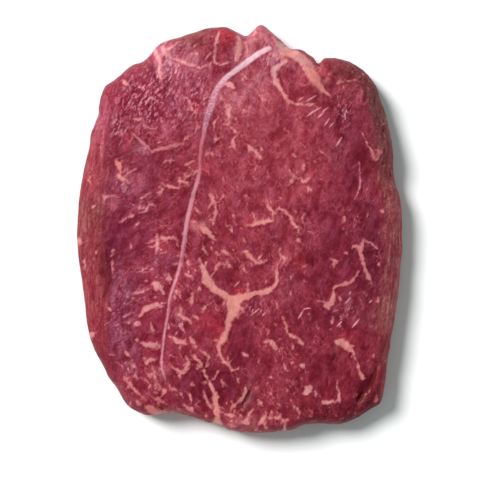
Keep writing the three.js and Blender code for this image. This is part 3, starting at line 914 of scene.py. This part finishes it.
def read_marks(corners):
    """Fat, gristle, splits, side and tone at each corner of the smooth slice."""
    px, py = photo_pixels(corners)
    depth = np.clip(DRIFT_HEIGHT - corners[:, 2], 0, None)
    px, py = px + DRIFT[0] * depth, py + DRIFT[1] * depth
    warp_x = waves(px, py, 6, 1.2, SEED + 3) + waves(px, py, 2.8, 0.9, SEED + 4)
    warp_y = waves(px, py, 6, 1.2, SEED + 5) + waves(px, py, 2.8, 0.9, SEED + 6)
    wx, wy = px + warp_x, py + warp_y
    swell = waves(px, py, 4.5, 1, SEED + 10)

    rng = np.random.default_rng(SEED)
    seams = list(BROAD_SEAMS.values())
    for region in FINE_SEAMS.values():
        seams += [tapered(*seam) for seam in region]
    threads = [tapered(*thread) for thread in THREADS]
    flecks = fleck_runs(rng, *LARGE_FLECKS) + fleck_runs(rng, *SMALL_FLECKS)
    frayed = seams + twigs(rng, seams)
    marks = {
        "px": px, "py": py,
        "fat": field_of(frayed, wx, wy) + 0.7 * swell + 0.4,
        "lee": field_of(frayed, wx - LEE_SHIFT[0], wy - LEE_SHIFT[1]) + 0.7 * swell + 0.4,
        "fleck": field_of(flecks, wx, wy, reach=4.0, blend=0.4) + 0.5 * swell,
        "gristle": field_of([GRISTLE] + threads, px, py) + 0.4 * swell,
        "split": field_of([tapered(*split) for split in SPLITS], px, py, reach=5.0),
        "crease": field_of([tapered(*crease) for crease in CREASES], px + 0.4 * warp_x, py, reach=5.0),
        "glint": field_of([tapered(*glint) for glint in GLINTS], px, py, reach=5.0),
        "sheen": field_of([tapered(*sheen) for sheen in SHEENS], wx, wy),
    }
    marks["side"] = side_share(corners, px, py)
    marks["tone"] = with_blood(px, py, zone_colour(px, py, TONES, LEAN, 0.35))
    marks["fat_tone"] = zone_colour(px, py, FAT_TONES, FAT, 0.3)
    marks["side_tone"] = zone_colour(px, py, SIDE_TONES, SIDE, 0.05)
    marks["grain"] = grain_shares(px, py)
    marks["crinkle"] = crinkle_share(px, py)
    marks["calm"] = np.max([zone_share(px, py, *zone) for zone in BARE_ZONES], axis=0)
    return marks


def crinkle_share(px, py):
    """How crinkled the cut face is at each spot, which also sets its painted lilac highlights and groove
    shade.
    """
    total = np.zeros_like(px)
    for x, y, across, down, strength in CRINKLES:
        total = np.maximum(total, strength * zone_share(px, py, x, y, across, down))
    return total


def side_share(corners, px, py):
    """How much a corner belongs to the outer side of the slice, and not to its cut face."""
    x, y = corners[:, 0], corners[:, 1]
    spread = np.maximum(np.hypot(x, y), 1e-3)
    turn = (np.arctan2(y, x) + math.pi) / (2 * math.pi)
    rim_angle = (np.arctan2(RIM[:-1, 1], RIM[:-1, 0]) + math.pi) / (2 * math.pi)
    order = np.argsort(rim_angle)
    reach = np.interp(turn, rim_angle[order], np.hypot(*RIM[:-1].T)[order], period=1)
    width = shoulder_width(x, np.where(spread > 1e-3, y, 1.0))
    inward = (reach - spread) / width + 0.18 * noise(px / 11, py / 16, SEED + 7)
    covered = 0.25 + 0.75 * ease(np.abs(x) / spread + np.where(x > 0, 0.18, 0), 0.62, 0.9)
    left = ease(-x / spread, 0.6, 0.9)
    broad = ease(py, *BROAD_MEMBRANE) * (1 - ease(py, *NARROW_MEMBRANE))
    start = 0.7 + left * (0.47 * broad - 0.25)
    end = 1.12 + left * (0.35 * broad - 0.3)
    return covered * (1 - ease(inward, start, end))


def zone_share(px, py, x, y, across, down):
    """How much a spot belongs to an oval zone, 1 in its middle."""
    return np.exp(-(((px - x) / across) ** 2) - ((py - y) / down) ** 2)


def zone_colour(px, py, zones, plain, plain_weight):
    """Colour of the zones round each spot, plain where none reaches, in linear light."""
    wx = px + waves(px, py, 22, 5, SEED + 8)
    wy = py + waves(px, py, 22, 5, SEED + 9)
    weight = np.full(px.shape, plain_weight)
    colour = weight[:, None] * linear(plain)
    for *zone, zone_tone in zones:
        share = zone_share(wx, wy, *zone)
        weight = weight + share
        colour = colour + share[:, None] * linear(zone_tone)
    return colour / weight[:, None]


def with_blood(px, py, tone):
    """Tone of the lean with its blood-red patches, in linear light."""
    wx = px + waves(px, py, 7, 3, SEED + 11)
    wy = py + waves(px, py, 7, 3, SEED + 12)
    for x, y, reach, strength in VIVID_SPOTS:
        share = strength * bell(np.hypot(wx - x, wy - y), reach)[:, None]
        tone = tone * (1 - share) + linear(VIVID) * share
    return tone


def relief(corners, marks):
    """How far each corner stands out of the smooth slice, in millimetres."""
    px, py = marks["px"], marks["py"]
    x, y = px * PIXEL, -py * PIXEL
    lean = ease(marks["fat"], -0.5, 1.5) * ease(marks["gristle"], 0, 3)
    side = marks["side"]

    fibres = np.zeros_like(x)
    for number, (zone, heading) in enumerate(GRAIN.items()):
        coarse = streaks(x, y, heading, 4.2, 1.7, SEED + 20 + number)
        fine = streaks(x, y, heading, 2.4, 1.1, SEED + 30 + number)
        fibres += marks["grain"][zone] * (0.1 * coarse + 0.08 * fine)
    lumps = waves(x, y, 8, 0.26, SEED + 40) + waves(x, y, 3.6, 0.16, SEED + 41)
    folds = 0.4 - np.abs(noise(x / 1.9 + 0.4 * noise(x / 2, y / 2, SEED + 42), y / 2.2, SEED + 43))
    side_folds = streaks(x, y, 84, 16.0, 1.9, SEED + 45) + 0.5 * streaks(x, y, 96, 9.0, 1.1, SEED + 46)

    height = (1 - side) * (fibres * (0.4 + 0.6 * lean) + lumps + 0.4 * marks["crinkle"] * folds)
    height += side * (0.14 * side_folds + 0.5 * lumps)
    height += 0.1 * (1 - ease(marks["fat"], -1.5, 1.0)) + 0.05 * (1 - ease(marks["fleck"], -0.6, 0.8))
    height += 0.11 * (1 - ease(marks["gristle"], -2.0, 0.8))
    height += 0.16 * (1 - ease(marks["glint"], -0.8, 1.2))
    height -= 0.6 * (1 - ease(marks["split"], -1.2, 1.2)) + 0.16 * (1 - ease(marks["crease"], -1.0, 1.4))
    return height * ease(corners[:, 2], 0.2, 3.0)


def shade_lift(normals):
    """Grey factor, above 1 where the surface turns away from the light, as the photograph evens out."""
    towards = -np.array(SUN_TRAVEL) / np.linalg.norm(SUN_TRAVEL)
    lift = 1 + SHADE_LIFT * (1 - ease(normals @ towards, -0.1, 0.6))
    return np.column_stack([lift, lift, lift, np.ones_like(lift)])


def make_mesh(shell):
    mesh = bpy.data.meshes.new("steak_meat")
    mesh.from_pydata(shell.corners.tolist(), [], shell.faces)
    layer = mesh.uv_layers.new(name="OFBake")
    layer.data.foreach_set("uv", np.vstack(shell.places).astype(np.float32).ravel())
    return mesh


def add_number(mesh, name, values):
    attribute = mesh.attributes.new(name, "FLOAT", "POINT")
    attribute.data.foreach_set("value", np.asarray(values, np.float32))


def add_colour(mesh, name, values):
    attribute = mesh.attributes.new(name, "FLOAT_COLOR", "POINT")
    attribute.data.foreach_set("color", np.asarray(values, np.float32).ravel())


def build_steak():
    """The dressed slice: the smooth form with its fine relief, and the marks that its material reads."""
    shell = build_shell()
    shell.corners = with_nudges(shell.corners)
    mesh = make_mesh(shell)
    normals = np.zeros(len(shell.corners) * 3, np.float32)
    mesh.vertex_normals.foreach_get("vector", normals)
    marks = read_marks(shell.corners)
    stand = relief(shell.corners, marks)
    corners = shell.corners + normals.reshape(-1, 3) * stand[:, None]
    corners[:, 2] = np.maximum(corners[:, 2], 0)
    mesh.vertices.foreach_set("co", (corners / 1000).astype(np.float32).ravel())

    for name in NUMBER_MARKS:
        add_number(mesh, name, marks[name])
    add_number(mesh, "down", marks["py"])
    for name in COLOUR_MARKS:
        tone = surface(marks[name])
        add_colour(mesh, name, np.column_stack([tone, np.ones(len(tone))]))
    add_colour(mesh, "lift", shade_lift(normals.reshape(-1, 3)))
    add_colour(mesh, "grain", np.stack([marks["grain"][zone] for zone in GRAIN], -1))
    mesh.shade_smooth()
    mesh.update()
    return bpy.data.objects.new("steak_meat", mesh)


class Wiring:
    """Short calls that add and join the nodes of one material."""

    def __init__(self, name):
        self.material = bpy.data.materials.new(name)
        self.material.use_nodes = True
        self.nodes = self.material.node_tree.nodes
        self.links = self.material.node_tree.links
        self.shader = self.nodes["Principled BSDF"]

    def feed(self, socket, value):
        """Link an output to a socket, or set the socket to a plain value."""
        if isinstance(value, bpy.types.NodeSocket):
            self.links.new(value, socket)
        else:
            socket.default_value = value

    def fill(self, values):
        """Feed the shader's sockets by name."""
        for name, value in values.items():
            self.feed(self.shader.inputs[name], value)

    def attribute(self, name, output="Fac"):
        node = self.nodes.new("ShaderNodeAttribute")
        node.attribute_name = name
        return node.outputs[output]

    def sums(self, operation, first, second):
        """Result of a Math node on two values."""
        node = self.nodes.new("ShaderNodeMath")
        node.operation = operation
        self.feed(node.inputs[0], first)
        self.feed(node.inputs[1], second)
        return node.outputs[0]

    def plus(self, first, second):
        return self.sums("ADD", first, second)

    def times(self, first, second):
        return self.sums("MULTIPLY", first, second)

    def step(self, value, start, end, low=0.0, high=1.0):
        """Smooth step of a value from low at start to high at end."""
        node = self.nodes.new("ShaderNodeMapRange")
        node.interpolation_type = "SMOOTHSTEP"
        self.feed(node.inputs["Value"], value)
        for socket, number in zip(("From Min", "From Max", "To Min", "To Max"), (start, end, low, high)):
            node.inputs[socket].default_value = number
        return node.outputs["Result"]

    def stretched(self, heading, length, width):
        """Object coordinates turned to a heading and drawn out along it, sizes in millimetres."""
        place = self.nodes.new("ShaderNodeTexCoord").outputs["Object"]
        node = self.nodes.new("ShaderNodeMapping")
        node.vector_type = "TEXTURE"
        node.inputs["Rotation"].default_value = (0, 0, math.radians(heading))
        node.inputs["Scale"].default_value = (length / 1000, width / 1000, width / 1000)
        self.feed(node.inputs["Vector"], place)
        return node.outputs["Vector"]

    def noise(self, vector, detail=2.0, roughness=0.5, output="Fac"):
        node = self.nodes.new("ShaderNodeTexNoise")
        node.inputs["Scale"].default_value = 1.0
        node.inputs["Detail"].default_value = detail
        node.inputs["Roughness"].default_value = roughness
        self.feed(node.inputs["Vector"], vector)
        return node.outputs[output]

    def net(self, vector):
        """Distance to the nearest line of an irregular net, in shares of its mesh."""
        shift = self.nodes.new("ShaderNodeVectorMath")
        shift.operation = "MULTIPLY_ADD"
        self.feed(shift.inputs[0], self.noise(vector, output="Color"))
        shift.inputs[1].default_value = (NET_SWAY, NET_SWAY, NET_SWAY)
        self.feed(shift.inputs[2], vector)
        cells = self.nodes.new("ShaderNodeTexVoronoi")
        cells.feature = "DISTANCE_TO_EDGE"
        cells.inputs["Scale"].default_value = 1.0
        self.feed(cells.inputs["Vector"], shift.outputs[0])
        return cells.outputs["Distance"]

    def mix(self, share, first, second, blend="MIX"):
        node = self.nodes.new("ShaderNodeMix")
        node.data_type = "RGBA"
        node.blend_type = blend
        self.feed(node.inputs[0], share)
        self.feed(node.inputs[6], first)
        self.feed(node.inputs[7], second)
        return node.outputs[2]

    def shade(self, colour, factors, share=1.0):
        """Colour times the factors, as far as the share goes."""
        return self.mix(share, colour, factors, "MULTIPLY")

    def bump(self, height, distance, strength):
        node = self.nodes.new("ShaderNodeBump")
        node.inputs["Strength"].default_value = strength
        node.inputs["Distance"].default_value = distance
        self.feed(node.inputs["Height"], height)
        return node.outputs["Normal"]


def opaque(colour):
    """Surface colour with full alpha for a node's socket, from sRGB bytes."""
    return (*surface(linear(colour)), 1.0)


def along_fibres(wiring, texture):
    """Texture drawn along each heading of the fibres, blended between the zones of the slice."""
    split = wiring.nodes.new("ShaderNodeSeparateColor")
    wiring.links.new(wiring.attribute("grain", "Color"), split.inputs["Color"])
    shares = [split.outputs[0], split.outputs[1], split.outputs[2], wiring.attribute("grain", "Alpha")]
    total = 0.0
    for share, heading in zip(shares, GRAIN.values()):
        total = wiring.plus(wiring.times(texture(heading), share), total)
    return total


def lean_colour(wiring, fibres, mottle, grit, fat):
    """Lean meat that shifts from purple to crimson, with soft mottling and fine threads."""
    tone = wiring.attribute("tone", "Color")
    hue = wiring.noise(wiring.stretched(70, 7.0, 4.5), 3.0, 0.6)
    crimson = wiring.shade(tone, CRIMSON)
    base = wiring.mix(wiring.step(hue, 0.4, 0.6), wiring.shade(tone, PURPLE), crimson)
    base = wiring.mix(wiring.step(fat, 4.0, 1.0, 0.0, 0.5), base, crimson)
    dark = wiring.shade(base, MOTTLE_DARK)
    light = wiring.shade(base, MOTTLE_LIGHT)
    lean = wiring.mix(wiring.step(mottle, 0.34, 0.66), dark, light)
    lean = wiring.mix(wiring.step(fibres, 0.45, 0.34, 0.0, 0.35), lean, dark)
    thread = wiring.mix(0.6, light, opaque(FAT_PINK))
    return with_threads(wiring, lean, thread, fibres, grit)


def with_threads(wiring, lean, thread, fibres, grit):
    """Lean meat with pale threads, a fine net and painted lilac highlight specks, fewer in the bare zones.
    """
    calm = wiring.step(wiring.attribute("calm"), 0.1, 0.8, 1.0, 0.35)
    patches = wiring.times(wiring.noise(wiring.stretched(40, 7.0, 7.0), 3.0), calm)
    fine = wiring.times(wiring.step(fibres, 0.54, 0.68), wiring.step(patches, 0.45, 0.65, 0.0, 0.5))
    lean = wiring.mix(fine, lean, thread)
    net = along_fibres(wiring, lambda heading: wiring.net(wiring.stretched(heading, 5.6, 2.8)))
    net = wiring.times(wiring.step(net, 0.07, 0.005), wiring.step(patches, 0.48, 0.62, 0.0, 0.5))
    lean = wiring.mix(net, lean, thread)
    # Painted highlight: sparse lilac specks
    specks = wiring.times(wiring.step(grit, 0.64, 0.74, 0.0, 0.55), wiring.step(patches, 0.46, 0.6))
    return wiring.mix(specks, lean, opaque(LILAC_HIGHLIGHT))


def with_crinkles(wiring, lean):
    """Lean meat under a crinkled film: painted groove shade, and painted lilac highlights and glints on the
    ridges.
    """
    crinkle = wiring.attribute("crinkle")
    folds = wiring.noise(wiring.stretched(62, 2.2, 1.1), 3.0, 0.6)
    cells = wiring.net(wiring.stretched(62, 2.9, 1.9))
    between_cells = wiring.step(cells, 0.12, 0.02, 0.0, 0.8)
    between_folds = wiring.step(folds, 0.46, 0.36, 0.0, 0.9)
    groove_shade_share = wiring.times(wiring.sums("MAXIMUM", between_cells, between_folds), crinkle)
    ridge_highlight = wiring.times(wiring.step(folds, 0.5, 0.61, 0.0, 0.95), crinkle)
    peak_glint = wiring.times(wiring.step(folds, 0.64, 0.76, 0.0, 0.5), crinkle)
    groove_shade_colour = wiring.shade(wiring.attribute("tone", "Color"), GROOVE_SHADE)
    colour = wiring.mix(groove_shade_share, lean, groove_shade_colour)
    colour = wiring.mix(ridge_highlight, colour, opaque(LILAC_HIGHLIGHT))
    return wiring.mix(peak_glint, colour, opaque(GLINT))


def with_grain(wiring, colour, dark_factors, light_factors):
    """Colour with fine darker and lighter specks."""
    grain = wiring.noise(wiring.stretched(60, 1.5, 0.9), 3.0, 0.7)
    darker = wiring.shade(colour, dark_factors)
    lighter = wiring.shade(colour, light_factors)
    colour = wiring.mix(wiring.step(grain, 0.5, 0.34, 0.0, 0.75), colour, darker)
    return wiring.mix(wiring.step(grain, 0.52, 0.68, 0.0, 0.75), colour, lighter)


def side_colour(wiring):
    """Membrane over the outer side, with long soft streaks."""
    tone = wiring.attribute("side_tone", "Color")
    dark = wiring.shade(tone, DARKER)
    pale = wiring.shade(tone, LIGHTER)
    long_streaks = wiring.noise(wiring.stretched(86, 9.0, 1.7), 3.0, 0.6)
    cross_streaks = wiring.noise(wiring.stretched(24, 4.0, 1.3), 3.0, 0.6)
    colour = wiring.mix(wiring.step(long_streaks, 0.51, 0.36, 0.0, 0.9), tone, dark)
    colour = wiring.mix(wiring.step(long_streaks, 0.5, 0.66, 0.0, 0.9), colour, pale)
    return wiring.mix(wiring.step(cross_streaks, 0.48, 0.37, 0.0, 0.7), colour, dark)


def with_side(wiring, lean, mottle, strength):
    """Lean meat with the outer side's membrane over it, and darker along the membrane's border."""
    side = wiring.attribute("side")
    covered = wiring.times(side, wiring.step(mottle, 0.3, 0.6, 0.6, 0.95))
    colour = wiring.mix(covered, lean, side_colour(wiring))
    border = wiring.times(wiring.step(side, 0.15, 0.4), wiring.step(side, 0.85, 0.5, 0.0, 0.5))
    return wiring.shade(colour, LEE_SHADE, wiring.times(border, strength))


def with_fat(wiring, colour, fat, fleck, mottle, strength):
    """Flecks and seams of fat over the meat, the seams pinker at their edges and palest in the middle."""
    tallow = wiring.attribute("fat_tone", "Color")
    tallow = wiring.mix(wiring.step(mottle, 0.56, 0.4, 0.0, 0.35), tallow, opaque(FAT_PINK))
    blush = wiring.mix(0.5, tallow, opaque(FAT_PINK))
    flecks = wiring.times(wiring.step(fleck, 0.7, -0.9), strength)
    colour = wiring.mix(flecks, colour, wiring.mix(strength, blush, tallow))
    seam = wiring.mix(wiring.step(fat, 0.5, -0.8), blush, tallow)
    seam = wiring.mix(wiring.step(fat, -0.6, -2.6), seam, wiring.shade(tallow, FAT_CORE))
    seam = with_grain(wiring, seam, FAT_DARKER, FAT_LIGHTER)
    return wiring.mix(wiring.step(fat, 1.4, -0.9, 0.0, 0.96), colour, seam)


def gristle_colour(wiring, grit):
    """White at the strip's upper end, then lilac, rose and pink, and wrinkled on the way down."""
    down = wiring.attribute("down")
    colour = opaque(GRISTLE_WHITE)
    for stretch, next_colour in GRISTLE_STRETCHES:
        colour = wiring.mix(wiring.step(down, *stretch), colour, opaque(next_colour))
    setting_in = wiring.step(down, *WRINKLES_SET_IN, 0.2, 0.7)
    wrinkled = wiring.times(setting_in, wiring.step(down, *WRINKLES_FADE, 0.3, 1.0))
    wrinkles = wiring.times(wiring.step(grit, 0.56, 0.42), wrinkled)
    return wiring.mix(wrinkles, colour, opaque(SHEEN))


def with_lines(wiring, colour):
    """Colour with painted highlights on the wet threads and painted shade in the creases and splits."""
    glint = wiring.step(wiring.attribute("glint"), 0.7, -0.4, 0.0, 0.72)
    crease = wiring.step(wiring.attribute("crease"), 1.2, -0.8, 0.0, 0.85)
    split = wiring.step(wiring.attribute("split"), 0.8, -0.8, 0.0, 0.93)
    colour = wiring.mix(glint, colour, opaque(GLINT))
    colour = wiring.shade(colour, LEE_SHADE, crease)
    return wiring.mix(split, colour, opaque(SPLIT_SHADE))


def meat_colour(wiring, fibres, mottle, grit):
    """Colour of the slice: the lean first, then what lies over it."""
    wobble = wiring.times(wiring.sums("SUBTRACT", grit, 0.5), 2.0)
    fat = wiring.plus(wiring.attribute("fat"), wobble)
    fleck = wiring.plus(wiring.attribute("fleck"), wobble)
    gristle = wiring.plus(wiring.attribute("gristle"), wobble)

    # Thin marks show more where the mottling is light
    strength = wiring.step(mottle, 0.4, 0.58, 0.3, 0.95)
    colour = with_crinkles(wiring, lean_colour(wiring, fibres, mottle, grit, fat))
    sheen = wiring.step(wiring.attribute("sheen"), 1.8, -1.6, 0.0, 0.7)
    colour = wiring.mix(wiring.times(sheen, strength), colour, opaque(SHEEN))
    colour = with_grain(wiring, with_side(wiring, colour, mottle, strength), DARKER, LIGHTER)
    # Painted shadow beside each seam, on its side away from the light
    lee = wiring.step(wiring.attribute("lee"), 1.4, -0.6, 0.0, 0.55)
    colour = wiring.shade(colour, LEE_SHADE, lee)
    colour = with_fat(wiring, colour, fat, fleck, mottle, strength)
    solid = wiring.step(mottle, 0.34, 0.54, 0.75, 1.0)
    strip = wiring.times(wiring.step(gristle, 1.0, -1.2), solid)
    colour = wiring.mix(strip, colour, gristle_colour(wiring, grit))
    # Painted light: the rim that turns away from the light is lifted
    return wiring.shade(with_lines(wiring, colour), wiring.attribute("lift", "Color"))


def meat_material():
    """Moist raw beef: mottled lean, pale fat seams and flecks, gristle, and a duller outer side."""
    wiring = Wiring("raw_beef")
    fibres = along_fibres(wiring, lambda heading: wiring.noise(wiring.stretched(heading, 3.6, 0.9)))
    mottle = wiring.noise(wiring.stretched(75, 4.6, 3.4), 4.0, 0.58)
    grit = wiring.noise(wiring.stretched(0, 0.9, 0.9), 2.0, 0.6)
    wetness = wiring.noise(wiring.stretched(60, 5.0, 2.5), 3.0)
    dullness = wiring.times(wiring.attribute("side"), 0.3)
    texture = wiring.plus(wiring.times(fibres, 0.8), mottle)
    texture = wiring.plus(texture, wiring.times(grit, 0.3))
    wiring.fill({
        "Base Color": meat_colour(wiring, fibres, mottle, grit),
        "Roughness": wiring.plus(wiring.step(wetness, 0.4, 0.62, 0.36, 0.6), dullness),
        "Normal": wiring.bump(texture, distance=0.0003, strength=0.6),
        "IOR": 1.38,
        "Specular IOR Level": 0.13,
        "Subsurface Weight": 0.08,
        "Subsurface Radius": (1.0, 0.3, 0.2),
        "Subsurface Scale": 0.0006,
        "Coat Weight": 0.012,
        "Coat Roughness": 0.2,
    })
    return wiring.material


def floor_material():
    wiring = Wiring("pale_floor")
    wiring.fill({"Base Color": FLOOR_COLOUR, "Roughness": 0.95, "Specular IOR Level": 0.0})
    return wiring.material


def add_object(item):
    bpy.context.scene.collection.objects.link(item)
    return item


def add_floor():
    """Plain pale floor under the slice."""
    half = FLOOR_HALF
    corners = [(-half, -half, 0), (half, -half, 0), (half, half, 0), (-half, half, 0)]
    mesh = bpy.data.meshes.new("floor")
    mesh.from_pydata(corners, [], [(0, 1, 2, 3)])
    mesh.materials.append(floor_material())
    add_object(bpy.data.objects.new("floor", mesh))


def add_light():
    """One broad soft light from the upper left, and an even pale sky."""
    sun = bpy.data.lights.new("key", "SUN")
    sun.energy = SUN_ENERGY
    sun.angle = math.radians(SUN_SPREAD)
    lamp = add_object(bpy.data.objects.new("key", sun))
    lamp.rotation_euler = Vector(SUN_TRAVEL).to_track_quat("-Z", "Y").to_euler()
    world = bpy.data.worlds.new("sky")
    world.use_nodes = True
    background = world.node_tree.nodes["Background"]
    background.inputs["Color"].default_value = SKY_COLOUR
    background.inputs["Strength"].default_value = SKY_STRENGTH
    bpy.context.scene.world = world


def add_camera():
    """Long lens straight above the slice, framed as the photograph is."""
    lens = bpy.data.cameras.new("camera")
    lens.lens = LENS
    lens.sensor_width = SENSOR
    camera = add_object(bpy.data.objects.new("camera", lens))
    camera.location = (AIM[0] / 1000, AIM[1] / 1000, CAMERA_HEIGHT / 1000)
    bpy.context.scene.camera = camera


steak = add_object(build_steak())
steak.data.materials.append(meat_material())
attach(steak, "root")
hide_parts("steak")

add_floor()
add_light()
add_camera()
bpy.context.scene.view_settings.view_transform = "Standard"
